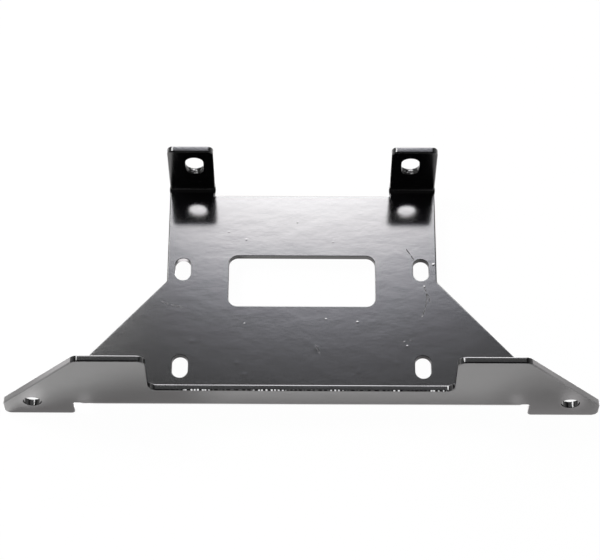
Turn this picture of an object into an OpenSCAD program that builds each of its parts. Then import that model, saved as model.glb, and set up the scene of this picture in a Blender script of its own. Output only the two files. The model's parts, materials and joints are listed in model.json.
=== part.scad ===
// Winch mounting plate for a small off-road vehicle.
// One laser-cut steel sheet: the front edge is folded up into a winged flange that bolts to the
// vehicle's frame, and two tabs at the rear are folded up for the rear bolts.
// The winch stands on the flat plate between them.
// Origin: centre of the winch bolt pattern, on the plate's top face.
// X runs to the right, Y to the rear, Z up, in millimetres.

/* [Sheet] */
// Thickness of the steel sheet, 3/16 in
sheet_t = 4.76; // [3:0.01:6.5]
// Inside radius of the three folds
bend_r = 3.2; // [1.5:0.1:5]

/* [Winch bolt pattern] */
// Distance between the left and right slots, centre to centre
pattern_w = 167.64; // [150:0.01:190]
// Distance between the front and rear slots, centre to centre
pattern_d = 76.2; // [70:0.1:100]
// Width of a winch slot
slot_w = 11.1; // [8:0.1:13]
// Length of a winch slot, end to end
slot_len = 17.5; // [14:0.1:24]
// From the flange's front face back to the centres of the front slots
front_margin = 29.6; // [26:0.1:60]

/* [Plate] */
// Width of the plate where it meets the front fold
body_w = 298.4; // [260:0.1:330]
// From the slot centres out to the side of the narrow neck
neck_margin = 11.1; // [10:0.1:20]
// From the rear slots' centres forward to the corner where the neck widens
knee_lead = 9.5; // [2:0.1:16]
// From the flange's front face back to where the sides start to slant
side_len = 35; // [20:0.1:45]
// From the rear slots' centres back to the plate's rear edge
rear_margin = 60.4; // [40:0.1:100]
// Radius of the plate's outline corners
outline_r = 3; // [1:0.1:6]

/* [Window] */
// Width of the rectangular window
window_w = 103; // [60:0.1:130]
// Depth of the window, front to rear
window_d = 40.4; // [20:0.1:48]
// From the pattern's centre back to the window's centre
window_back = 29; // [26:0.1:40]
// Corner radius of the window
window_r = 6.5; // [2:0.1:9]

/* [Front flange] */
// Height of the raised flanks above the plate's underside
flank_h = 70.2; // [55:0.1:90]
// Height of the lowered middle above the plate's underside
middle_h = 27.3; // [20:0.1:40]
// Width of the lowered middle
middle_w = 206; // [160:0.1:230]
// Radius of the four corners of the step
step_r = 6; // [2:0.1:9]
// Distance between the outer ends of the two flat flank tops
crest_w = 300.6; // [280:0.1:340]
// Overall width, from ear tip to ear tip
overall_w = 407; // [390:0.1:460]
// Height of the ear tip's upper corner above the plate's underside
tip_h = 6.2; // [2:0.1:15]
// Distance that the ears reach below the plate's underside
ear_drop = 9.3; // [4:0.1:16]
// Radius of the corner at the end of the flank's top
crest_r = 6.5; // [1:0.1:10]
// Radius of the ear tip's upper corner
tip_upper_r = 5; // [1:0.1:8]
// Radius of the ear tip's lower corner
tip_lower_r = 5.5; // [1:0.1:8]
// Radius of the ear's inner lower corner
ear_inner_r = 2.5; // [1:0.1:3.5]

/* [Ear bolt holes] */
// From the ear's tip in to the centre of its hole
ear_hole_in = 20.5; // [14:0.1:26]
// Diameter of an ear hole
ear_hole_d = 12.7; // [8:0.1:14]
// Height of the ear holes' centres above the plate's underside
ear_hole_h = 8.9; // [5:0.1:12]

/* [Bend relief] */
// Width of the notch between the end of the fold and the ear
relief_w = 6; // [4:0.1:10]
// From the line where the fold turns into flat flange down to the notch's root
relief_short = 1.5; // [0:0.1:2]
// Radius of the corners at the notch's root
relief_r = 1.8; // [0.5:0.1:1.9]

/* [Rear tabs] */
// Width of a tab
tab_w = 32.4; // [28:0.1:45]
// Height of a tab above the plate's underside
tab_h = 56.1; // [54:0.1:80]
// From the plate's rear edge back to where a tab starts to bend
tab_lead = 1.8; // [0.5:0.1:8]
// Radius of a tab's upper corners
tab_r = 4.5; // [1:0.1:8]
// Width of a tab's slot
tab_slot_w = 12.7; // [8:0.1:14]
// Length of a tab's slot, end to end
tab_slot_len = 21; // [15:0.1:24]
// Height of the tab slot's centre above the plate's underside
tab_slot_h = 37.1; // [30:0.1:39]
// From the tab's inner edge out to the slot's centre
tab_slot_in = 13.7; // [11:0.1:16]

/* [Hidden] */
$fn = 48;
// Length by which a cutter passes the faces that it cuts
over = 2;
// Length by which a fold runs on into the flat sheet at either end
lap = 1;
// Outside radius of the folds
bend_outer = bend_r + sheet_t;
// Height of the underside, and of the tangent line where the folded walls turn flat
under_z = -sheet_t;
wall_z = bend_r;
// Places from front to rear
flange_y = -(pattern_d / 2 + front_margin);
fold_y = flange_y + bend_outer;
side_y = flange_y + side_len;
knee_y = pattern_d / 2 - knee_lead;
rear_y = pattern_d / 2 + rear_margin;
tab_fold_y = rear_y + tab_lead;
tab_y = tab_fold_y + bend_r;
// Places from the middle outwards
neck_x = pattern_w / 2 + neck_margin;
body_x = body_w / 2;
ear_x = body_x + relief_w;
tip_x = overall_w / 2;
ear_hole_x = tip_x - ear_hole_in;
tab_x = neck_x - tab_w;
tab_slot_x = tab_x + tab_slot_in;
// Heights
flank_z = under_z + flank_h;
middle_z = under_z + middle_h;
tip_z = under_z + tip_h;
ear_z = under_z - ear_drop;
tab_z = under_z + tab_h;

// Unit vector from point a towards point b
function towards(a, b) = (b - a) / norm(b - a);

// The web of material between a corner at p and a round of radius r that touches both edges.
// a and b are points on the two edges. Taken off, it rounds an outer corner, and added, an inner one.
module corner_web(p, a, b, r) {
    u = towards(p, a);
    v = towards(p, b);
    half_angle = acos(u * v) / 2;
    reach = r / tan(half_angle);
    centre = p + (u + v) / norm(u + v) * r / sin(half_angle);
    spread = 1.3;
    difference() {
        polygon([
            centre,
            centre + (p + u * reach - centre) * spread,
            centre + (p - centre) * spread,
            centre + (p + v * reach - centre) * spread
        ]);
        translate(centre) circle(r);
    }
}

// A slot along Y, given its width and its length from end to end
module obround(width, length) {
    straight = length - width;
    square([width, straight], center = true);
    for (end = [-1, 1]) translate([0, end * straight / 2]) circle(d = width);
}

// A rectangle whose corners are round, centred on its own middle
module round_rectangle(width, depth, r) {
    square([width - 2 * r, depth], center = true);
    square([width, depth - 2 * r], center = true);
    for (sx = [-1, 1], sy = [-1, 1])
        translate([sx * (width / 2 - r), sy * (depth / 2 - r)]) circle(r);
}

// Draws a child on the right and its mirror image on the left
module both_sides() {
    children();
    mirror([1, 0, 0]) children();
}

// Stands a flat outline up as a wall: its second axis becomes Z and its front face lies at y
module stand_up(y) {
    translate([0, y + sheet_t, 0]) rotate([90, 0, 0]) linear_extrude(sheet_t) children();
}

// Section of a fold in the YZ plane, about the centre of its bend: a quarter ring with a short
// straight stretch of sheet at either end. dir is -1 for a wall at the front and 1 for one at the rear.
module fold_section(dir) {
    scale([dir, 1]) {
        difference() {
            intersection() {
                circle(bend_outer);
                translate([0, -bend_outer - over]) square(bend_outer + over);
            }
            circle(bend_r);
        }
        translate([-lap, -bend_outer]) square([lap, sheet_t]);
        translate([bend_r, 0]) square([sheet_t, lap]);
    }
}

// Fold along X from x0 to x1, with the plate's tangent line at y
module fold(x0, x1, y, dir) {
    translate([x0, y, bend_r]) rotate([90, 0, 90]) linear_extrude(x1 - x0) fold_section(dir);
}

// Flat plate seen from above, as far as the tangent lines of its folds
module plate_outline() {
    body_front = [body_x, fold_y];
    body_rear = [body_x, side_y];
    knee = [neck_x, knee_y];
    neck_end = [neck_x, tab_fold_y];
    tab_inner_end = [tab_x, tab_fold_y];
    tab_root = [tab_x, rear_y];
    both_sides() {
        difference() {
            polygon([
                [0, fold_y], body_front, body_rear, knee,
                neck_end, tab_inner_end, tab_root, [0, rear_y]
            ]);
            corner_web(body_rear, body_front, knee, outline_r);
        }
        corner_web(knee, body_rear, neck_end, outline_r);
    }
}

// Winged flange seen from the front, above its fold and down to the feet of its ears
module flange_outline() {
    ear_inner = [ear_x, ear_z];
    tip_low = [tip_x, ear_z];
    tip_high = [tip_x, tip_z];
    crest = [crest_w / 2, flank_z];
    step_high = [middle_w / 2, flank_z];
    step_low = [middle_w / 2, middle_z];
    middle = [0, middle_z];
    both_sides() {
        difference() {
            polygon([
                [0, wall_z], [ear_x, wall_z], ear_inner, tip_low, tip_high,
                crest, step_high, step_low, middle
            ]);
            corner_web(ear_inner, [ear_x, wall_z], tip_low, ear_inner_r);
            corner_web(tip_low, ear_inner, tip_high, tip_lower_r);
            corner_web(tip_high, tip_low, crest, tip_upper_r);
            corner_web(crest, tip_high, step_high, crest_r);
            corner_web(step_high, crest, step_low, step_r);
        }
        corner_web(step_low, step_high, middle, step_r);
    }
}

// One rear tab seen from the front, above its fold
module tab_outline() {
    outer_high = [neck_x, tab_z];
    inner_high = [tab_x, tab_z];
    difference() {
        polygon([[tab_x, wall_z], [neck_x, wall_z], outer_high, inner_high]);
        corner_web(outer_high, [neck_x, wall_z], inner_high, tab_r);
        corner_web(inner_high, [tab_x, wall_z], outer_high, tab_r);
    }
}

// Four fore-and-aft slots for the winch bolts, cut through the plate
module winch_slots() {
    for (sx = [-1, 1], sy = [-1, 1])
        translate([sx * pattern_w / 2, sy * pattern_d / 2, under_z - over])
            linear_extrude(sheet_t + 2 * over) obround(slot_w, slot_len);
}

// Window that drains the plate and lets the bolts be reached
module window() {
    translate([0, window_back, under_z - over])
        linear_extrude(sheet_t + 2 * over) round_rectangle(window_w, window_d, window_r);
}

// Round bolt hole through each ear
module ear_holes() {
    both_sides()
        translate([ear_hole_x, flange_y - over, under_z + ear_hole_h])
            rotate([-90, 0, 0]) cylinder(h = sheet_t + 2 * over, d = ear_hole_d);
}

// Upright slot through each rear tab
module tab_slots() {
    both_sides()
        translate([tab_slot_x, tab_y + sheet_t + over, under_z + tab_slot_h])
            rotate([90, 0, 0]) linear_extrude(sheet_t + 2 * over) obround(tab_slot_w, tab_slot_len);
}

// Notch at each end of the front fold, which lets the ear stay flat while the plate is folded
module bend_reliefs() {
    root_z = wall_z - relief_short;
    depth = root_z - ear_z + over;
    both_sides()
        translate([body_x + relief_w / 2, fold_y + over, root_z])
            rotate([90, 0, 0]) linear_extrude(bend_outer + 2 * over) {
                translate([-relief_w / 2, -depth]) square([relief_w, depth - relief_r]);
                translate([relief_r - relief_w / 2, -depth]) square([relief_w - 2 * relief_r, depth]);
                for (side = [-1, 1])
                    translate([side * (relief_w / 2 - relief_r), -relief_r]) circle(relief_r);
            }
}

// Flat plate with its window and slots
module base() {
    difference() {
        translate([0, 0, under_z]) linear_extrude(sheet_t) plate_outline();
        winch_slots();
        window();
    }
}

// Flange with its fold, its ear holes and the reliefs at the ends of the fold
module flange() {
    difference() {
        union() {
            fold(-ear_x, ear_x, fold_y, -1);
            stand_up(flange_y) flange_outline();
        }
        ear_holes();
        bend_reliefs();
    }
}

// Two rear tabs, each with its fold and its slot
module tabs() {
    difference() {
        both_sides() {
            fold(tab_x, neck_x, tab_fold_y, 1);
            stand_up(tab_y) tab_outline();
        }
        tab_slots();
    }
}

// The whole folded sheet is one piece
module mounting_plate() {
    color("#1d1d1f") union() {
        base();
        flange();
        tabs();
    }
}

mounting_plate();
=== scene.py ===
import json
from math import atan2, cos, pi, radians, sin, tan

import bmesh
import bpy
from bpy.props import FloatProperty, PointerProperty, StringProperty
from mathutils import Matrix, Vector


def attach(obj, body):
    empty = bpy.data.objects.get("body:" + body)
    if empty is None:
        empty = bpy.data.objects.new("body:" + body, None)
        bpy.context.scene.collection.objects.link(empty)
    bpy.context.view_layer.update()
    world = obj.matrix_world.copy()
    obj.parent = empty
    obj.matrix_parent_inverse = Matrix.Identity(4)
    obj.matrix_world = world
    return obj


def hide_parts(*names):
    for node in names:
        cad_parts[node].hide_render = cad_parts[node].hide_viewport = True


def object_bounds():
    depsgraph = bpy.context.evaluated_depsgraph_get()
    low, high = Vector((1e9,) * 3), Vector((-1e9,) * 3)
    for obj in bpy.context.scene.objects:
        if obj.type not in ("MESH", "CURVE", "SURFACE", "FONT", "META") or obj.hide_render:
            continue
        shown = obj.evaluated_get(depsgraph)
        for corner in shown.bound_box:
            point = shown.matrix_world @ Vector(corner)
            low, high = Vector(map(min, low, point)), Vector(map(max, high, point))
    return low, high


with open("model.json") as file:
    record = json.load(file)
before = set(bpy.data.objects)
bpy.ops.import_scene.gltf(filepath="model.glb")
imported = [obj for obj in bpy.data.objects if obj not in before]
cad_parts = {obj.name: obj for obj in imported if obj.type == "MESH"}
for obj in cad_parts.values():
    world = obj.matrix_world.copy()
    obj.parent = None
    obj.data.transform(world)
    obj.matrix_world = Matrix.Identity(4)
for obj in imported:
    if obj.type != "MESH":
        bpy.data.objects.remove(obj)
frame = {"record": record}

bl_info = {
    "name": "Folded winch plate",
    "version": (1, 0, 0),
    "blender": (4, 5, 0),
    "location": "View3D > Sidebar > Winch Plate",
    "description": "Cuts, deburrs, folds and coats a winch mounting plate, and lights it in a studio",
    "category": "Add Mesh",
}

MM = 0.001
# Places nearer to each other than this are the same
CLOSE = 0.01 * MM
# Long enough for a cutter to pass right through the sheet
CUTTER_DEPTH = 30 * MM
# How far above and below it a mark on the top face and a patch on the paper reach, in mm
MARK_DEPTH, PAPER_DEPTH = 1.5, 50

# Settings of the shader nodes that are used most
SMOOTH = {"interpolation_type": "SMOOTHSTEP"}
ADD = {"operation": "ADD"}
SUBTRACT = {"operation": "SUBTRACT"}
MULTIPLY = {"operation": "MULTIPLY"}
DIVIDE = {"operation": "DIVIDE"}
MAXIMUM = {"operation": "MAXIMUM"}

NODE = "mounting_plate"
PIECE = "folded_plate"

# The CAD model's box, from before anything is added
CAD_LOW, CAD_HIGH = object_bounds()
MOUNTS = {mount["name"]: mount for mount in frame["record"]["mounts"]}
SLOT_MOUNT = MOUNTS["winch_slots_right"]
EAR_MOUNT = MOUNTS["ear_bolts"]
TAB_MOUNT = MOUNTS["rear_slot_right"]

# Grit under the coat of the top face, as x, y and size in mm
GRIT = ((16.9, -1.3, 1.0), (38.8, -3.5, 1.1), (71.2, -18.8, 0.6), (75.6, -17.9, 0.5),
        (73.2, -22.0, 0.9), (92.8, 42.6, 1.25), (86.0, 24.8, 0.9), (84.0, 0.9, 0.6),
        (-39.5, 62.3, 0.9), (-39.8, -4.9, 0.7), (-3.3, 76.5, 0.8), (-52.0, 68.5, 0.7),
        (22.0, 60.4, 0.7))

# Shallow dents in the top face, as x, y and size in mm
DENTS = ((65.4, -35.2, 3.5), (-44.8, -35.3, 2.6), (-39.1, -44.5, 3.0), (-76.0, -19.0, 3.2),
         (39.5, -42.0, 3.0), (10.5, -24.0, 3.2))

# Runs of painted glints, pale specks along the lowered lip, as the middle and half length in x in mm
LIP_GLINTS = ((-70.5, 11.0), (-21.5, 12.5), (23.5, 5.5), (64.5, 4.0), (89.2, 4.5), (96.5, 1.5))

# Hairline scratches on the top face, from point to point in mm
SCRATCHES = (((73.3, 55.5), (76.7, 50.2)), ((76.7, 50.2), (79.1, 46.1)),
             ((86.2, 23.7), (87.3, 20.1)), ((87.3, 20.1), (88.9, 16.9)),
             ((88.9, 16.9), (89.7, 11.8)), ((87.3, 20.1), (87.6, 13.7)),
             ((87.6, 13.7), (86.2, 7.4)), ((86.2, 7.4), (84.1, 1.5)),
             ((-98.1, 12.2), (-93.5, 9.8)), ((-91.7, 9.8), (-82.9, 7.5)),
             ((9.5, -21.0), (12.5, -28.0)))

# Pools of light on the paper that mirrored rays meet, as x, y, half sizes in mm and strength:
# by the ear holes, by the ears' inner corners, under the left rear slot, and off to both sides
POOLS = ((-185.5, -80, 13, 11, 1.0), (188, -80.5, 13, 11, 1.0),
         (-149, -79, 9, 6, 0.5), (149, -79.5, 9, 6, 0.5), (-84.5, 40.5, 12, 6, 7.0),
         (-400, 60, 150, 200, 2.2), (410, 60, 150, 200, 1.2),
         (-330, -150, 110, 80, 1.2), (330, -150, 110, 80, 2.0))


def length(name, description, default):
    """A size in metres, shown in the scene's own unit."""
    return FloatProperty(name=name, description=description, default=default,
                         min=0.0, unit="LENGTH", precision=5)


def paint(name, description, default):
    """A colour, written as sRGB hex."""
    return StringProperty(name=name, description=description, default=default)


class SheetSizes(bpy.types.PropertyGroup):
    """Sizes of the sheet and of its two kinds of fold."""
    thickness: length("Thickness", "Thickness of the steel sheet", 4.76 * MM)
    bend: length("Bend radius", "Inside radius of the folds", 3.2 * MM)
    rounding: length("Edge rounding", "Radius of the deburred and coated outer edges", 0.9 * MM)
    hole_rounding: length("Hole rounding", "Radius of the edges of holes and slots", 0.35 * MM)
    body: length("Body width", "Width of the plate at the front fold", 298.4 * MM)
    neck: length("Neck width", "Width of the plate between the tabs' outer sides", 189.84 * MM)
    side: length("Side length", "From the flange's face back to where the sides slant", 35 * MM)
    knee: length("Knee", "From the pattern's centre back to where the neck begins", 28.6 * MM)
    rear: length("Rear edge", "From the pattern's centre back to the rear edge", 98.5 * MM)
    outline_round: length("Outline corners", "Radius of the plate's corners", 3 * MM)
    window_width: length("Window width", "Width of the window", 103 * MM)
    window_depth: length("Window depth", "Depth of the window", 40.4 * MM)
    window_back: length("Window place", "From the pattern's centre to the window's", 29 * MM)
    window_round: length("Window corners", "Radius of the window's corners", 6.5 * MM)
    middle_height: length("Middle height", "Lowered middle above the top face", 22.54 * MM)
    middle_width: length("Middle width", "Width of the lowered middle", 206 * MM)
    step_round: length("Step corners", "Radius of the step's corners", 6 * MM)
    crest_width: length("Crest width", "Between the outer ends of the flat flanks", 300.6 * MM)
    crest_round: length("Crest corners", "Radius at the end of a flank's top", 6.5 * MM)
    tip_height: length("Tip height", "Ear tip's upper corner above the top face", 1.44 * MM)
    tip_round: length("Tip corners", "Radius of the ear tip's corners", 5.2 * MM)
    ear_round: length("Ear corner", "Radius of the ear's inner corner", 2.5 * MM)
    relief_width: length("Relief width", "Width of the notch beside the fold", 6 * MM)
    relief_round: length("Relief corners", "Radius at the notch's root", 1.8 * MM)
    tab_width: length("Tab width", "Width of a rear tab", 32.4 * MM)
    tab_height: length("Tab height", "Top of a tab above the top face", 51.34 * MM)
    tab_lead: length("Tab lead", "From the rear edge to where a tab bends", 1.8 * MM)
    tab_round: length("Tab corners", "Radius of a tab's upper corners", 4.5 * MM)
    taper: length("Taper", "Slant of a tab's cut end over the sheet", 0.25 * MM)
    bulge: length("Bulge", "How far the squeezed inside of a tab's fold bulges at its sides",
                  0.5 * MM)
    tab_slot_width: length("Tab slot width", "Width of a tab's slot", 12.7 * MM)
    tab_slot_length: length("Tab slot length", "Length of a tab's slot", 21 * MM)


class CoatLooks(bpy.types.PropertyGroup):
    """Colour and finish of the powder coat."""
    colour: paint("Coat", "Colour of the gloss black powder coat", "#060607")
    scratch: paint("Scratch", "Colour of the coat where it is scuffed", "#0b0b0c")
    # The pale paint of the painted glints along the lip's front edge
    glint_paint: paint("Primer", "Colour of the zinc primer in the chips", "#e2e3e4")
    roughness: FloatProperty(name="Roughness", description="Roughness of the gloss coat",
                             default=0.13, min=0.0, max=1.0)
    edge_roughness: FloatProperty(name="Edge roughness", description="Roughness of the cut edges",
                                  default=0.12, min=0.0, max=1.0)


class StudioSizes(bpy.types.PropertyGroup):
    """The lamps and the camera of the studio."""
    softbox_gap: length("Softbox distance", "From the plate to the softbox behind it", 1300 * MM)
    focal: FloatProperty(name="Focal length", description="Camera's focal length in mm",
                         default=132.5, min=10.0)
    pitch: FloatProperty(name="Pitch", description="How far the camera looks down",
                         default=radians(61.277), unit="ROTATION")
    turn: FloatProperty(name="Turn", description="How far the camera stands round to the right",
                        default=radians(0.274), unit="ROTATION")
    distance: length("Camera distance", "From the camera to the point that it looks at",
                     1557.8 * MM)


def linear(code):
    """Turns an sRGB hex colour into the linear colour that a shader takes."""
    parts = [int(code.lstrip("#")[i:i + 2], 16) / 255 for i in (0, 2, 4)]
    return [p / 12.92 if p <= 0.04045 else ((p + 0.055) / 1.055) ** 2.4 for p in parts] + [1.0]


def deselect():
    """Leaves object mode with nothing selected, because operators act on all that is."""
    if bpy.context.object and bpy.context.object.mode != "OBJECT":
        bpy.ops.object.mode_set(mode="OBJECT")
    bpy.ops.object.select_all(action="DESELECT")


def activate(piece):
    """Makes one object the only selected and active one."""
    deselect()
    piece.select_set(True)
    bpy.context.view_layer.objects.active = piece


def start_edit(piece):
    """Opens a piece in edit mode with nothing selected in it."""
    activate(piece)
    bpy.ops.object.mode_set(mode="EDIT")
    bpy.ops.mesh.select_all(action="DESELECT")


def pick(piece, kind, test):
    """Selects, in edit mode, the verts, edges or faces of a piece that pass a test."""
    bpy.ops.mesh.select_mode(type=kind)
    bpy.ops.mesh.select_all(action="DESELECT")
    mesh = bmesh.from_edit_mesh(piece.data)
    for part in {"VERT": mesh.verts, "EDGE": mesh.edges, "FACE": mesh.faces}[kind]:
        if test(part):
            part.select = True
    mesh.select_flush_mode()
    bmesh.update_edit_mesh(piece.data)


def add_modifier(piece, kind, **settings):
    """Adds a modifier with its settings and applies it."""
    activate(piece)
    modifier = piece.modifiers.new(kind.title(), kind)
    for name, value in settings.items():
        setattr(modifier, name, value)
    bpy.ops.object.modifier_apply(modifier=modifier.name)


def fold_length(sizes):
    """Length of flat sheet that a fold takes up, along the middle of the sheet."""
    return pi / 2 * (sizes.bend + sizes.thickness / 2)


def fold_lines(sizes):
    """Where the front and rear folds begin on the flat plate."""
    return CAD_LOW.y + sizes.bend + sizes.thickness, sizes.rear + sizes.tab_lead


def flat_front(sizes, height):
    """Place on the flat blank of a height on the front flange."""
    return fold_lines(sizes)[0] - fold_length(sizes) - (height - sizes.bend)


def flat_rear(sizes, height):
    """Place on the flat blank of a height on a rear tab."""
    return fold_lines(sizes)[1] + fold_length(sizes) + (height - sizes.bend)


def relief_root(sizes):
    """Place on the flat blank of the notch's root, which lies 79 degrees round the fold."""
    share = 79 / 90
    return fold_lines(sizes)[0] - fold_length(sizes) * share


def blank_corners(sizes):
    """Corners of the right half of the blank and their radii, from the rear round to the front."""
    neck, body = sizes.neck / 2, sizes.body / 2
    tab_inner, ear_inner = neck - sizes.tab_width, body + sizes.relief_width
    side = CAD_LOW.y + sizes.side
    tab_end = flat_rear(sizes, sizes.tab_height)
    root = relief_root(sizes)
    foot = flat_front(sizes, CAD_LOW.z)
    tip = flat_front(sizes, sizes.tip_height)
    flank = flat_front(sizes, CAD_HIGH.z)
    middle = flat_front(sizes, sizes.middle_height)
    return [
        (0, sizes.rear, 0),
        (tab_inner, sizes.rear, 0),
        (tab_inner, tab_end, sizes.tab_round),
        (neck, tab_end, sizes.tab_round),
        (neck, sizes.knee, sizes.outline_round),
        (body, side, sizes.outline_round),
        (body, root, sizes.relief_round),
        (ear_inner, root, sizes.relief_round),
        (ear_inner, foot, sizes.ear_round),
        (CAD_HIGH.x, foot, sizes.tip_round),
        (CAD_HIGH.x, tip, sizes.tip_round),
        (sizes.crest_width / 2, flank, sizes.crest_round),
        (sizes.middle_width / 2, flank, sizes.step_round),
        (sizes.middle_width / 2, middle, sizes.step_round),
        (0, middle, 0),
    ]


def round_corner(piece, corner, before, after, radius):
    """Rounds one corner of a flat outline by a vertex bevel that starts where the arc touches."""
    corner, before, after = (Vector(p[:2]).to_3d() for p in (corner, before, after))
    half = (before - corner).angle(after - corner) / 2
    pick(piece, "VERT", lambda v: (v.co - corner).length < CLOSE)
    bpy.ops.mesh.bevel(offset_type="ABSOLUTE", offset=radius / tan(half), segments=7,
                       affect="VERTICES", clamp_overlap=False)


def cut_blank(sizes):
    """Lays out half the blank as one face, rounds its corners, mirrors it and gives it thickness."""
    corners = blank_corners(sizes)
    deselect()
    bpy.ops.mesh.primitive_circle_add(vertices=len(corners), radius=100 * MM, fill_type="NGON")
    blank = bpy.context.object
    blank.name = PIECE
    # The circle's vertices move to the blank's corners
    for vertex, corner in zip(blank.data.vertices, corners):
        vertex.co = (corner[0], corner[1], 0)
    start_edit(blank)
    count = len(corners)
    for i, corner in enumerate(corners):
        if corner[2]:
            round_corner(blank, corner, corners[i - 1], corners[(i + 1) % count], corner[2])
    bpy.ops.object.mode_set(mode="OBJECT")
    add_modifier(blank, "MIRROR", use_clip=True, merge_threshold=CLOSE)
    start_edit(blank)
    bpy.ops.mesh.select_all(action="SELECT")
    bpy.ops.mesh.dissolve_limited(angle_limit=radians(0.1))
    bpy.ops.mesh.select_all(action="SELECT")
    bpy.ops.mesh.extrude_region_move(TRANSFORM_OT_translate={"value": (0, 0, -sizes.thickness)})
    bpy.ops.mesh.select_all(action="SELECT")
    bpy.ops.mesh.normals_make_consistent(inside=False)
    bpy.ops.object.mode_set(mode="OBJECT")
    return blank


def slot_cutter(name, x, y, width, size):
    """An upright round-ended cutter whose length lies along Y."""
    deselect()
    bpy.ops.mesh.primitive_cylinder_add(vertices=48, radius=width / 2, depth=CUTTER_DEPTH,
                                        location=(x, y, 0))
    cutter = bpy.context.object
    cutter.name = name
    bpy.ops.object.transform_apply(location=True, rotation=True, scale=True)
    straight = size - width
    if straight > 0:
        start_edit(cutter)
        bpy.ops.mesh.select_all(action="SELECT")
        bpy.ops.mesh.bisect(plane_co=(x, y, 0), plane_no=(0, 1, 0))
        for side in (-1, 1):
            pick(cutter, "VERT", lambda v: (v.co.y - y) * side > CLOSE)
            bpy.ops.transform.translate(value=(0, side * straight / 2, 0))
        bpy.ops.object.mode_set(mode="OBJECT")
    return cutter


def window_cutter(sizes):
    """The window's cutter, a block with four round upright edges."""
    deselect()
    bpy.ops.mesh.primitive_cube_add(
        size=1, location=(0, sizes.window_back, 0),
        scale=(sizes.window_width, sizes.window_depth, CUTTER_DEPTH))
    cutter = bpy.context.object
    cutter.name = "window_cutter"
    bpy.ops.object.transform_apply(location=True, rotation=True, scale=True)
    start_edit(cutter)
    pick(cutter, "EDGE", lambda e: abs(e.verts[0].co.z - e.verts[1].co.z) > 1 * MM)
    bpy.ops.mesh.bevel(offset=sizes.window_round, segments=9, affect="EDGES")
    bpy.ops.object.mode_set(mode="OBJECT")
    return cutter


def pierce(blank, sizes):
    """Cuts the winch slots, the window, the ear holes and the tab slots through the flat blank."""
    cutters = [window_cutter(sizes)]
    slot = SLOT_MOUNT["dims"]
    ear_x = EAR_MOUNT["dims"]["spacing_x_mm"] / 2 * MM
    ear_y = flat_front(sizes, EAR_MOUNT["pos_m"][2])
    ear_width = 2 * EAR_MOUNT["dims"]["hole_r_mm"] * MM
    tab_x, tab_y = TAB_MOUNT["pos_m"][0], flat_rear(sizes, TAB_MOUNT["pos_m"][2])
    for side in (-1, 1):
        for row in (-1, 1):
            cutters.append(slot_cutter(
                "winch_slot_cutter", side * SLOT_MOUNT["pos_m"][0],
                row * slot["spacing_y_mm"] / 2 * MM,
                2 * slot["hole_r_mm"] * MM, slot["slot_length_mm"] * MM))
        cutters.append(slot_cutter("ear_cutter", side * ear_x, ear_y, ear_width, ear_width))
        cutters.append(slot_cutter("tab_cutter", side * tab_x, tab_y,
                                   sizes.tab_slot_width, sizes.tab_slot_length))
    for cutter in cutters:
        add_modifier(blank, "BOOLEAN", object=cutter, operation="DIFFERENCE", solver="EXACT")
        bpy.data.objects.remove(cutter)


def taper(blank, sizes):
    """Slants the tabs' cut ends a little, as a laser leaves them."""
    middle = -sizes.thickness / 2
    arc = flat_rear(sizes, sizes.tab_height) - sizes.tab_round - CLOSE
    start_edit(blank)
    pick(blank, "VERT", lambda v: v.co.z > middle and v.co.y > arc)
    bpy.ops.transform.translate(value=(0, -sizes.taper, 0))
    bpy.ops.object.mode_set(mode="OBJECT")


def round_edges(blank, radius):
    """Rounds the edges that are still sharp."""
    add_modifier(blank, "BEVEL", width=radius, segments=4, limit_method="ANGLE",
                 angle_limit=radians(35), use_clamp_overlap=False, miter_outer="MITER_SHARP")


def score(blank, places, normal, test):
    """Cuts lines across the faces that pass a test, one line at each place."""
    for place in places:
        pick(blank, "FACE", test)
        bpy.ops.mesh.bisect(plane_co=place, plane_no=normal)


def folded(point, line, towards, share, sizes):
    """Carries a point of the flat sheet round a fold. share is 1 on the folded strip, and 0 on
    metal beside it that stays flat and only swings up with the wall."""
    along = (point.y - line) * towards
    total = fold_length(sizes)
    if along <= 0 and share == 1:
        return point.copy()
    radius = sizes.bend - point.z
    bent = min(max(along / total, 0), 1) * pi / 2
    over = max(along - total, 0)
    strip = Vector((point.x, line + towards * radius * sin(bent),
                    sizes.bend - radius * cos(bent) + over))
    flat = Vector((point.x, line + towards * radius, sizes.bend + along - total))
    return flat.lerp(strip, share)


def squeezed(point, sizes):
    """Pushes a point at the side of a tab's fold outwards, because the inside of a fold is
    squeezed and bulges at its ends."""
    along = (point.y - fold_lines(sizes)[1]) / fold_length(sizes)
    if not 0 < along < 1:
        return point
    middle = (sizes.neck - sizes.tab_width) / 2
    side = abs(point.x) - middle
    if abs(side) < sizes.tab_width / 2 - sizes.rounding - CLOSE:
        return point
    inside = min(max(1 + point.z / sizes.thickness, 0), 1)
    away = sizes.bulge * sin(pi * along) * inside
    outwards = (1 if side > 0 else -1) * (1 if point.x > 0 else -1)
    return point + Vector((outwards * away, 0, 0))


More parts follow.
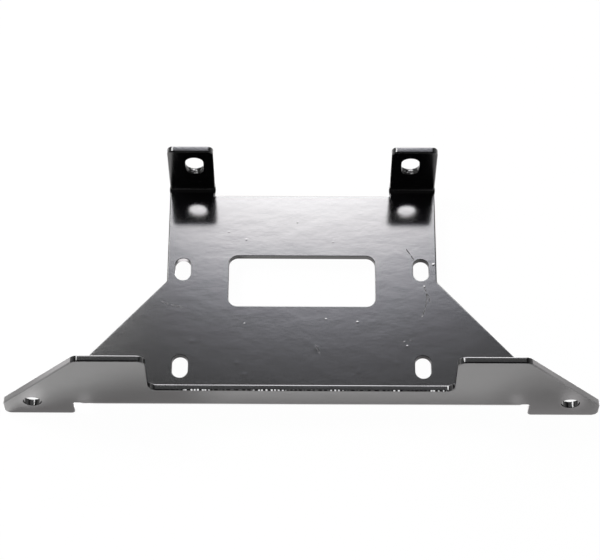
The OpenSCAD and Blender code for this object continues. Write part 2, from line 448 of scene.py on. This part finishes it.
def fold(blank, sizes):
    """Bends the front flange and the rear tabs up, as a press brake does."""
    steps, stripes = 14, 6
    total = fold_length(sizes)
    front, rear = fold_lines(sizes)
    body, ear = sizes.body / 2, sizes.body / 2 + sizes.relief_width
    start_edit(blank)
    for line, towards in ((front, -1), (rear, 1)):
        rows = [(0, line + towards * total * i / steps, 0) for i in range(steps + 1)]
        score(blank, rows, (0, 1, 0), lambda f: True)
    root, top = relief_root(sizes), front - total
    columns = [(side * (body + (ear - body) * i / stripes), 0, 0)
               for side in (-1, 1) for i in range(stripes + 1)]
    score(blank, columns, (1, 0, 0),
          lambda f: top - CLOSE <= f.calc_center_median().y <= root + 2 * MM)
    mesh = bmesh.from_edit_mesh(blank.data)
    for vertex in mesh.verts:
        here = vertex.co.copy()
        if here.y > (front + rear) / 2:
            vertex.co = folded(squeezed(here, sizes), rear, 1, 1, sizes)
        else:
            swing = (abs(here.x) - body) / (ear - body)
            swing = min(max(swing, 0), 1)
            share = 1 - swing * swing * (3 - 2 * swing)
            vertex.co = folded(here, front, -1, share, sizes)
    bmesh.update_edit_mesh(blank.data)
    bpy.ops.mesh.select_all(action="SELECT")
    bpy.ops.mesh.normals_make_consistent(inside=False)
    bpy.ops.object.mode_set(mode="OBJECT")


def add_node(tree, kind, settings=None, links=None):
    """Adds a shader node with its settings and its inputs. An input is a value, a socket, or a
    node, which then gives its first output that is in use."""
    node = tree.nodes.new(kind)
    for name, value in (settings or {}).items():
        setattr(node, name, value)
    for name, value in (links or {}).items():
        if isinstance(value, bpy.types.Node):
            value = next(output for output in value.outputs if output.enabled)
        if isinstance(value, bpy.types.NodeSocket):
            tree.links.new(value, node.inputs[name])
        else:
            node.inputs[name].default_value = value
    return node


def new_material(name):
    """A node material with nothing in it but its output."""
    material = bpy.data.materials.new(name)
    material.use_nodes = True
    material.node_tree.nodes.clear()
    return material, add_node(material.node_tree, "ShaderNodeOutputMaterial")


def patch(tree, place, centre, size, angle=0.0, core=0.4):
    """A soft elliptical patch, 1 in its core and 0 outside, with its centre and half sizes in mm."""
    inside = add_node(tree, "ShaderNodeMapping", {"vector_type": "TEXTURE"},
                      {"Vector": place, "Location": Vector(centre) * MM,
                       "Rotation": (0, 0, angle), "Scale": Vector(size) * MM})
    reach = add_node(tree, "ShaderNodeVectorMath", {"operation": "LENGTH"}, {0: inside})
    return add_node(tree, "ShaderNodeMapRange", SMOOTH,
                    {"Value": reach, "From Min": core, "From Max": 1.0,
                     "To Min": 1.0, "To Max": 0.0})


def stroke(tree, place, start, end):
    """A straight hairline scratch on the top face between two points in mm."""
    width = 0.5
    along = Vector(end) - Vector(start)
    middle = (Vector(end) + Vector(start)) / 2
    return patch(tree, place, (middle.x, middle.y, 0), (along.length / 2 + width, width, MARK_DEPTH),
                 atan2(along.y, along.x), 0.5)


def strongest(tree, values):
    """The largest of several values."""
    top = values[0]
    for value in values[1:]:
        top = add_node(tree, "ShaderNodeMath", MAXIMUM, {0: top, 1: value})
    return top


def spots(tree, place, marks):
    """Round marks on the top face, each an x, y and size in mm."""
    return strongest(tree, [patch(tree, place, (x, y, 0), (size, size, MARK_DEPTH), core=0.0)
                            for x, y, size in marks])


def relief(tree, layers):
    """The normal of a surface raised by patterns that lie on each other, each with the height
    in mm that a value of 1 gives it."""
    normal = {}
    for pattern, height in layers:
        raised = add_node(tree, "ShaderNodeBump", None,
                          {"Height": pattern, "Strength": 1.0, "Distance": height * MM, **normal})
        normal = {"Normal": raised}
    return raised


def powder_coat(looks):
    """Gloss black polyester powder coat on rolled steel. The powder flows out as it bakes, but
    the sheet's slow waves and rolling marks and the coat's own orange peel stay, so a lamp's
    image in it is clear close by, and cloudy and rippled further off. Grit under the coat
    catches the light, shallow dents bend it, and hairline scratches take the gloss away."""
    material, output = new_material("gloss_black_powder_coat")
    tree = material.node_tree
    place = add_node(tree, "ShaderNodeTexCoord").outputs["Object"]
    # The sheet was rolled across the plate, so its marks are longer in X
    rolled = add_node(tree, "ShaderNodeMapping", None, {"Vector": place, "Scale": (0.6, 1, 1)})
    waves = add_node(tree, "ShaderNodeTexNoise", None,
                     {"Vector": place, "Scale": 1 / (45 * MM), "Detail": 1.0})
    clouds = add_node(tree, "ShaderNodeTexNoise", None,
                      {"Vector": rolled, "Scale": 1 / (9 * MM), "Detail": 1.0})
    peel = add_node(tree, "ShaderNodeTexNoise", None,
                    {"Vector": rolled, "Scale": 1 / (2.4 * MM), "Detail": 3.0,
                     "Roughness": 0.65, "Distortion": 0.4})
    back = add_node(tree, "ShaderNodeSeparateXYZ", None, {"Vector": place}).outputs["Y"]
    depth = add_node(tree, "ShaderNodeMapRange", None,
                     {"Value": back, "From Min": -50 * MM, "From Max": 80 * MM,
                      "To Min": 1.0, "To Max": 0.75})
    peel = add_node(tree, "ShaderNodeMath", MULTIPLY, {0: peel, 1: depth})
    skin = relief(tree, ((waves, 0.05), (clouds, 0.035), (peel, 0.019),
                         (spots(tree, place, GRIT), 0.10), (spots(tree, place, DENTS), 0.02)))
    scratch = strongest(tree, [stroke(tree, place, *ends) for ends in SCRATCHES])
    colour = add_node(tree, "ShaderNodeMix", {"data_type": "RGBA"},
                      {"Factor": scratch, "A": linear(looks.colour), "B": linear(looks.scratch)})
    dull = add_node(tree, "ShaderNodeMapRange", None,
                    {"Value": scratch, "To Min": looks.roughness, "To Max": 0.7})
    shine = add_node(tree, "ShaderNodeMapRange", None,
                     {"Value": scratch, "To Min": 0.5, "To Max": 0.34})
    coat = add_node(tree, "ShaderNodeBsdfPrincipled", None,
                    {"Base Color": colour, "Roughness": dull, "IOR": 1.6,
                     "Specular IOR Level": shine, "Normal": skin})
    tree.links.new(coat.outputs["BSDF"], output.inputs["Surface"])
    return material


def edge_coat(looks):
    """The same coat over a laser-cut edge. It bridges the cut's fine ridges, which are drawn
    coarser than they are so that they show, and its reflections break up. In the tabs' slots it
    is thin and dull between the beads of slag. Along the lip it carries painted glints: pale,
    rough specks mixed into its colour."""
    material, output = new_material("powder_coat_on_cut_edge")
    tree = material.node_tree
    place = add_node(tree, "ShaderNodeTexCoord").outputs["Object"]
    sway = add_node(tree, "ShaderNodeTexNoise", None,
                    {"Vector": place, "Scale": 1 / (7 * MM), "Detail": 0.0})
    ridges = add_node(tree, "ShaderNodeTexNoise", None,
                      {"Vector": place, "Scale": 1 / (1.5 * MM), "Detail": 1.0})
    beads = add_node(tree, "ShaderNodeTexNoise", None,
                     {"Vector": place, "Scale": 1 / (1.8 * MM), "Detail": 1.0})
    slot_x, slot_y, slot_z = Vector(TAB_MOUNT["pos_m"]) / MM
    # The mount is on the tab's rear face, and the slag in the middle of the sheet before it
    slot_y -= 2.38
    slag = strongest(tree, [patch(tree, place, (x, slot_y, slot_z), (9, 6, 13), core=0.8)
                            for x in (-slot_x, slot_x)])
    raised = add_node(tree, "ShaderNodeMath", MULTIPLY, {0: slag, 1: beads})
    between = add_node(tree, "ShaderNodeMapRange", SMOOTH,
                       {"Value": beads, "From Min": 0.50, "From Max": 0.58,
                        "To Min": 1.0, "To Max": 0.0})
    between = add_node(tree, "ShaderNodeMath", MULTIPLY, {0: slag, 1: between})
    shine = add_node(tree, "ShaderNodeMapRange", None,
                     {"Value": between, "To Min": 0.5, "To Max": 0.05})
    # Painted glints along the lip's rounded front edge: pale specks, faint along its whole length and
    # strong in runs
    lip_y, lip_z = CAD_LOW.y / MM + 0.45, 22.3
    faint_glints, *glint_runs = [patch(tree, place, (x, lip_y, lip_z), (reach, 0.6, 0.6), core=0.8)
                      for x, reach in ((0, 102), *LIP_GLINTS)]
    faint_glints = add_node(tree, "ShaderNodeMath", MULTIPLY, {0: faint_glints, 1: 0.09})
    along = add_node(tree, "ShaderNodeSeparateXYZ", None, {"Vector": place}).outputs["X"]
    specks = add_node(tree, "ShaderNodeTexVoronoi", {"voronoi_dimensions": "1D"},
                      {"W": along, "Scale": 1 / (2.7 * MM), "Randomness": 0.7})
    specks = add_node(tree, "ShaderNodeMapRange", SMOOTH,
                      {"Value": specks, "From Min": 0.16, "From Max": 0.30,
                       "To Min": 1.0, "To Max": 0.0})
    glint = add_node(tree, "ShaderNodeMath", MULTIPLY,
                    {0: strongest(tree, [*glint_runs, faint_glints]), 1: specks})
    colour = add_node(tree, "ShaderNodeMix", {"data_type": "RGBA"},
                      {"Factor": glint, "A": linear(looks.colour), "B": linear(looks.glint_paint)})
    dull = add_node(tree, "ShaderNodeMapRange", None,
                    {"Value": glint, "To Min": looks.edge_roughness, "To Max": 0.6})
    coat = add_node(tree, "ShaderNodeBsdfPrincipled", None,
                    {"Base Color": colour, "Roughness": dull, "IOR": 1.6,
                     "Specular IOR Level": shine,
                     "Normal": relief(tree, ((sway, 0.05), (ridges, 0.018), (raised, 0.5)))})
    tree.links.new(coat.outputs["BSDF"], output.inputs["Surface"])
    return material


class OBJECT_OT_folded_plate(bpy.types.Operator):
    """Makes the folded and coated plate in place of the plain solid"""
    bl_idname = "object.folded_plate"
    bl_label = "Folded plate"

    def execute(self, context):
        sizes = context.scene.sheet_sizes
        blank = cut_blank(sizes)
        taper(blank, sizes)
        round_edges(blank, sizes.rounding)
        pierce(blank, sizes)
        round_edges(blank, sizes.hole_rounding)
        blank.data.materials.clear()
        blank.data.materials.append(powder_coat(context.scene.coat_looks))
        blank.data.materials.append(edge_coat(context.scene.coat_looks))
        start_edit(blank)
        # On the flat blank, all that doesn't lie level is a cut edge
        pick(blank, "FACE", lambda f: abs(f.normal.z) < 0.9)
        blank.active_material_index = 1
        bpy.ops.object.material_slot_assign()
        fold(blank, sizes)
        activate(blank)
        bpy.ops.object.shade_smooth_by_angle(angle=radians(40))
        add_modifier(blank, "WEIGHTED_NORMAL", mode="FACE_AREA", weight=100, keep_sharp=True)
        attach(blank, "root")
        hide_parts(NODE)
        return {"FINISHED"}


def hill(tree, value, centre, below, above):
    """A smooth hill, 1 at its centre, with its own spread on each side of it."""
    away = add_node(tree, "ShaderNodeMath", SUBTRACT, {0: value, 1: centre})
    low = add_node(tree, "ShaderNodeMath", {"operation": "MINIMUM"}, {0: away, 1: 0.0})
    high = add_node(tree, "ShaderNodeMath", MAXIMUM, {0: away, 1: 0.0})
    low = add_node(tree, "ShaderNodeMath", DIVIDE, {0: low, 1: below})
    high = add_node(tree, "ShaderNodeMath", DIVIDE, {0: high, 1: above})
    either = add_node(tree, "ShaderNodeMath", ADD, {0: low, 1: high})
    square = add_node(tree, "ShaderNodeMath", MULTIPLY, {0: either, 1: either})
    half = add_node(tree, "ShaderNodeMath", MULTIPLY, {0: square, 1: -0.5})
    return add_node(tree, "ShaderNodeMath", {"operation": "EXPONENT"}, {0: half})


def shiny_ray(tree):
    """Whether a ray comes from a glossy surface or through a clear one."""
    path = add_node(tree, "ShaderNodeLightPath")
    return strongest(tree, [path.outputs["Is Glossy Ray"], path.outputs["Is Transmission Ray"]])


def light_panel(name, azimuth, height, gap, width, tall):
    """An upright grid that faces the plate from a direction, with its own X to the right and
    its own Y upwards."""
    away = Vector((sin(azimuth) * cos(height), cos(azimuth) * cos(height), sin(height)))
    deselect()
    bpy.ops.mesh.primitive_grid_add(x_subdivisions=2, y_subdivisions=2, size=1,
                                    location=away * gap,
                                    rotation=(height + pi / 2, 0, -azimuth))
    panel = bpy.context.object
    panel.name = name
    panel.scale = (width, tall, 1)
    bpy.ops.object.transform_apply(location=False, rotation=False, scale=True)
    panel.visible_camera = False
    return panel


def back_softbox(sizes):
    """A large softbox behind and above the plate, with places on it in metres from its middle.
    Its hot band is high up, so that the plate mirrors a bright band at the rear that fades out
    towards the front. The band sags at the sides, drops at the left end and leans to the right
    higher up, as the photograph's does. A wider, even light under it gives the flange's rear
    edges their light line."""
    panel = light_panel("back_softbox", 0, radians(38), sizes.softbox_gap, 1.3, 1.7)
    material, output = new_material("softbox_cloth")
    tree = material.node_tree
    place = add_node(tree, "ShaderNodeTexCoord").outputs["Object"]
    parts = add_node(tree, "ShaderNodeSeparateXYZ", None, {"Vector": place})
    middle = add_node(tree, "ShaderNodeMapRange", None,
                      {"Value": parts.outputs["Y"], "From Min": 0.53, "From Max": 0.65,
                       "To Min": 0.0, "To Max": 0.05})
    aside = add_node(tree, "ShaderNodeMath", SUBTRACT, {0: parts.outputs["X"], 1: middle})
    square = add_node(tree, "ShaderNodeMath", MULTIPLY, {0: aside, 1: aside})
    sag = add_node(tree, "ShaderNodeMath", MULTIPLY, {0: square, 1: 0.95})
    height = add_node(tree, "ShaderNodeMath", ADD, {0: parts.outputs["Y"], 1: sag})
    past_end = add_node(tree, "ShaderNodeMath", SUBTRACT, {0: -0.165, 1: parts.outputs["X"]})
    drop = add_node(tree, "ShaderNodeMath", MAXIMUM, {0: past_end, 1: 0.0})
    height = add_node(tree, "ShaderNodeMath", ADD, {0: height, 1: drop})
    hot = add_node(tree, "ShaderNodeMath", MULTIPLY,
                   {0: hill(tree, height, 0.414, 0.06, 0.0906), 1: 11.65})
    even = add_node(tree, "ShaderNodeMath", MULTIPLY,
                    {0: hill(tree, height, 0.288, 0.9, 0.084), 1: 17.0})
    glow = add_node(tree, "ShaderNodeMath", ADD, {0: hot, 1: even})
    # Matt surfaces get 0.15 of the light that glossy ones mirror
    share = add_node(tree, "ShaderNodeMapRange", None,
                     {"Value": shiny_ray(tree), "To Min": 0.15, "To Max": 1.0})
    warmth = add_node(tree, "ShaderNodeMath", DIVIDE, {0: glow, 1: 11.0})
    tint = add_node(tree, "ShaderNodeMix", {"data_type": "RGBA"},
                    {"Factor": warmth, "A": linear("#e6eaff"), "B": linear("#fffdff")})
    lamp = add_node(tree, "ShaderNodeEmission", None,
                    {"Color": tint,
                     "Strength": add_node(tree, "ShaderNodeMath", MULTIPLY, {0: glow, 1: share})})
    cloth = add_node(tree, "ShaderNodeEmission", None,
                     {"Color": linear("#ffffff"),
                      "Strength": add_node(tree, "ShaderNodeMath", MULTIPLY, {0: share, 1: 0.75})})
    light = add_node(tree, "ShaderNodeAddShader", None, {0: lamp, 1: cloth})
    tree.links.new(light.outputs["Shader"], output.inputs["Surface"])
    panel.data.materials.append(material)


def side_softbox(sizes):
    """A smaller softbox behind the plate's left end. It lights the corners that lean to the left
    and gives the flange its soft shadow on the paper in front."""
    panel = light_panel("side_softbox", radians(-37), radians(52), sizes.softbox_gap, 0.42, 0.36)
    material, output = new_material("side_softbox_cloth")
    tree = material.node_tree
    glow = add_node(tree, "ShaderNodeMapRange", None,
                    {"Value": shiny_ray(tree), "To Min": 1.0, "To Max": 16.0})
    light = add_node(tree, "ShaderNodeEmission", None,
                     {"Color": linear("#ffffff"), "Strength": glow})
    tree.links.new(light.outputs["Emission"], output.inputs["Surface"])
    panel.data.materials.append(material)


def area_lamp(name, place, aim, size, power, colour):
    """A rectangular lamp at a place, turned to a point. Glossy surfaces don't mirror it."""
    deselect()
    bpy.ops.object.light_add(type="AREA", location=place)
    lamp = bpy.context.object
    lamp.name = name
    lamp.rotation_euler = (Vector(aim) - Vector(place)).to_track_quat("-Z", "Y").to_euler()
    lamp.data.shape = "RECTANGLE"
    lamp.data.size, lamp.data.size_y = size
    lamp.data.energy = power
    lamp.data.color = linear(colour)[:3]
    lamp.visible_camera = False
    lamp.visible_glossy = False


def mirrored_light(tree, place):
    """The light that the paper gives to mirrored rays beside what falls on it. It is stronger in
    front than behind, weaker at the left, gone under the plate, strong in a strip at the ears'
    feet, and has a few pools of its own. Its second result is 1 under the plate."""
    parts = add_node(tree, "ShaderNodeSeparateXYZ", None, {"Vector": place})
    under = patch(tree, place, (0, 20, 0), (150, 95, PAPER_DEPTH), core=0.85)
    behind = add_node(tree, "ShaderNodeMapRange", SMOOTH,
                      {"Value": parts.outputs["Y"], "From Min": -100 * MM, "From Max": 150 * MM,
                       "To Min": 0.37, "To Max": 0.25})
    left = add_node(tree, "ShaderNodeMapRange", SMOOTH,
                    {"Value": parts.outputs["X"], "From Min": -170 * MM, "From Max": -40 * MM,
                     "To Min": 0.35, "To Max": 1.0})
    near = add_node(tree, "ShaderNodeMapRange", None,
                    {"Value": parts.outputs["Y"], "From Min": -84 * MM, "From Max": -68.5 * MM,
                     "To Min": 0.0, "To Max": 0.40})
    outside = add_node(tree, "ShaderNodeMath", SUBTRACT, {0: 1.0, 1: under})
    sheen = add_node(tree, "ShaderNodeMath", MULTIPLY, {0: behind, 1: left})
    sheen = add_node(tree, "ShaderNodeMath", MULTIPLY, {0: sheen, 1: outside})
    sheen = add_node(tree, "ShaderNodeMath", ADD, {0: sheen, 1: near})
    pools = [add_node(tree, "ShaderNodeMath", MULTIPLY,
                      {0: patch(tree, place, (x, y, 0), (wide, deep, PAPER_DEPTH), core=0.0),
                       1: strength})
             for x, y, wide, deep, strength in POOLS]
    total = add_node(tree, "ShaderNodeMath", ADD, {0: sheen, 1: strongest(tree, pools)})
    glow = add_node(tree, "ShaderNodeEmission", None,
                    {"Color": linear("#fffbfd"), "Strength": total})
    return glow, under


def white_paper():
    """Matt white paper floor. To the camera it is plain white with a faint shadow. In mirrored
    rays it is nearly twice as bright in front of the plate as behind and under it, with the same
    shadow, and it has some light of its own."""
    material, output = new_material("white_paper")
    tree = material.node_tree
    place = add_node(tree, "ShaderNodeTexCoord").outputs["Object"]
    parts = add_node(tree, "ShaderNodeSeparateXYZ", None, {"Vector": place})
    paper = add_node(tree, "ShaderNodeBsdfDiffuse", None, {"Color": linear("#e8e8e7")})
    bright = add_node(tree, "ShaderNodeBsdfDiffuse", None, {"Color": linear("#ffffff")})
    white = add_node(tree, "ShaderNodeEmission", None,
                     {"Color": linear("#ffffff"), "Strength": 1.0})
    seen = add_node(tree, "ShaderNodeMixShader", None, {"Fac": 0.98, 1: bright, 2: white})
    glow, under = mirrored_light(tree, place)
    aside = add_node(tree, "ShaderNodeMath", {"operation": "ABSOLUTE"}, {0: parts.outputs["X"]})
    # Beyond the ears' tips the darker rear of the paper begins further forward
    forward = add_node(tree, "ShaderNodeMapRange", SMOOTH,
                       {"Value": aside, "From Min": 215 * MM, "From Max": 250 * MM,
                        "To Min": 0.0, "To Max": 50 * MM})
    back = add_node(tree, "ShaderNodeMath", ADD, {0: parts.outputs["Y"], 1: forward})
    rear = add_node(tree, "ShaderNodeMapRange", SMOOTH,
                    {"Value": back, "From Min": -50 * MM, "From Max": 50 * MM})
    shade = add_node(tree, "ShaderNodeMix", {"data_type": "RGBA"},
                     {"Factor": strongest(tree, [rear, under]),
                      "A": linear("#ffffff"), "B": linear("#6a6a6a")})
    more = add_node(tree, "ShaderNodeBsdfDiffuse", None, {"Color": shade})
    lit = add_node(tree, "ShaderNodeAddShader", None, {0: paper, 1: more})
    mirrored = add_node(tree, "ShaderNodeAddShader", None, {0: lit, 1: glow})
    bounced = add_node(tree, "ShaderNodeMixShader", None,
                       {"Fac": shiny_ray(tree), 1: paper, 2: mirrored})
    path = add_node(tree, "ShaderNodeLightPath")
    final = add_node(tree, "ShaderNodeMixShader", None,
                     {"Fac": path.outputs["Is Camera Ray"], 1: bounced, 2: seen})
    tree.links.new(final.outputs["Shader"], output.inputs["Surface"])
    return material


def studio_world():
    """A studio with white walls and a black ceiling. In mirrored rays there is a dim band round
    the horizon, and a paler one above it at the two sides. For soft light it is an even grey,
    and to the camera it is white."""
    world = bpy.data.worlds.new("studio")
    bpy.context.scene.world = world
    world.use_nodes = True
    tree = world.node_tree
    tree.nodes.clear()
    output = add_node(tree, "ShaderNodeOutputWorld")
    path = add_node(tree, "ShaderNodeLightPath")
    ray = add_node(tree, "ShaderNodeTexCoord").outputs["Generated"]
    parts = add_node(tree, "ShaderNodeSeparateXYZ", None, {"Vector": ray})
    walls = add_node(tree, "ShaderNodeMapRange", SMOOTH,
                     {"Value": parts.outputs["Z"], "From Min": 0.0, "From Max": 0.40,
                      "To Min": 0.3, "To Max": 0.04})
    aside = add_node(tree, "ShaderNodeMath", {"operation": "ABSOLUTE"}, {0: parts.outputs["X"]})
    sides = add_node(tree, "ShaderNodeMapRange", SMOOTH,
                     {"Value": aside, "From Min": 0.25, "From Max": 0.75,
                      "To Min": 0.0, "To Max": 0.8})
    band = add_node(tree, "ShaderNodeMath", MULTIPLY,
                    {0: sides, 1: hill(tree, parts.outputs["Z"], 0.25, 0.18, 0.25)})
    both = add_node(tree, "ShaderNodeMath", ADD, {0: walls, 1: band})
    room = add_node(tree, "ShaderNodeBackground", None,
                    {"Color": linear("#ffffff"), "Strength": both})
    fill = add_node(tree, "ShaderNodeBackground", None,
                    {"Color": linear("#ffffff"), "Strength": 0.15})
    white = add_node(tree, "ShaderNodeBackground", None,
                     {"Color": linear("#ffffff"), "Strength": 1.0})
    bounced = add_node(tree, "ShaderNodeMixShader", None,
                       {"Fac": shiny_ray(tree), 1: fill, 2: room})
    final = add_node(tree, "ShaderNodeMixShader", None,
                     {"Fac": path.outputs["Is Camera Ray"], 1: bounced, 2: white})
    tree.links.new(final.outputs["Shader"], output.inputs["Surface"])


class OBJECT_OT_plate_studio(bpy.types.Operator):
    """Makes the floor, the lamps and the camera"""
    bl_idname = "object.plate_studio"
    bl_label = "Studio"

    def execute(self, context):
        sizes = context.scene.studio_sizes
        deselect()
        bpy.ops.mesh.primitive_plane_add(size=8, location=(0, 0, CAD_LOW.z))
        floor = bpy.context.object
        floor.name = "floor"
        floor.data.materials.append(white_paper())
        back_softbox(sizes)
        side_softbox(sizes)
        area_lamp("front_fill", (-0.2, -1.5, 1.4), (0, 0, 0), (1.4, 1.0), 12, "#fffcfb")
        area_lamp("key", (-0.773, 0.377, 1.229), (0, 0, 0), (0.5, 0.5), 20, "#ffffff")
        studio_world()
        deselect()
        bpy.ops.object.camera_add()
        camera = bpy.context.object
        camera.name = "camera"
        camera.data.lens = sizes.focal
        camera.data.sensor_width = 36
        camera.data.clip_start, camera.data.clip_end = 0.05, 50
        turned = Matrix.Rotation(sizes.turn, 4, "Z") @ Matrix.Rotation(pi / 2 - sizes.pitch, 4, "X")
        # The point that it looks at and its shift to the left are fitted to the photograph
        target = Vector((0, 32.32 * MM, -4.76 * MM))
        offset = Vector((-1.354 * MM, 0, sizes.distance))
        camera.matrix_world = Matrix.Translation(target + turned @ offset) @ turned
        context.scene.camera = camera
        context.scene.view_settings.view_transform = "Standard"
        return {"FINISHED"}


class VIEW3D_PT_winch_plate(bpy.types.Panel):
    """Lists the pieces with their sizes and colours"""
    bl_idname = "VIEW3D_PT_winch_plate"
    bl_label = "Winch Plate"
    bl_space_type = "VIEW_3D"
    bl_region_type = "UI"
    bl_category = "Winch Plate"

    def draw(self, context):
        scene = context.scene
        for operator, groups in ((OBJECT_OT_folded_plate, (scene.sheet_sizes, scene.coat_looks)),
                                 (OBJECT_OT_plate_studio, (scene.studio_sizes,))):
            box = self.layout.box()
            box.operator(operator.bl_idname)
            for group in groups:
                for name in group.__annotations__:
                    box.prop(group, name)


CLASSES = (SheetSizes, CoatLooks, StudioSizes, OBJECT_OT_folded_plate, OBJECT_OT_plate_studio,
           VIEW3D_PT_winch_plate)


def register():
    """Adds the classes, and the sizes and colours to the scene."""
    for item in CLASSES:
        bpy.utils.register_class(item)
    bpy.types.Scene.sheet_sizes = PointerProperty(type=SheetSizes)
    bpy.types.Scene.coat_looks = PointerProperty(type=CoatLooks)
    bpy.types.Scene.studio_sizes = PointerProperty(type=StudioSizes)


def unregister():
    """Takes away what register adds."""
    for name in ("sheet_sizes", "coat_looks", "studio_sizes"):
        delattr(bpy.types.Scene, name)
    for item in reversed(CLASSES):
        bpy.utils.unregister_class(item)


def main():
    """Makes the plate and the studio."""
    register()
    bpy.ops.object.folded_plate()
    bpy.ops.object.plate_studio()


if __name__ == "__main__":
    main()
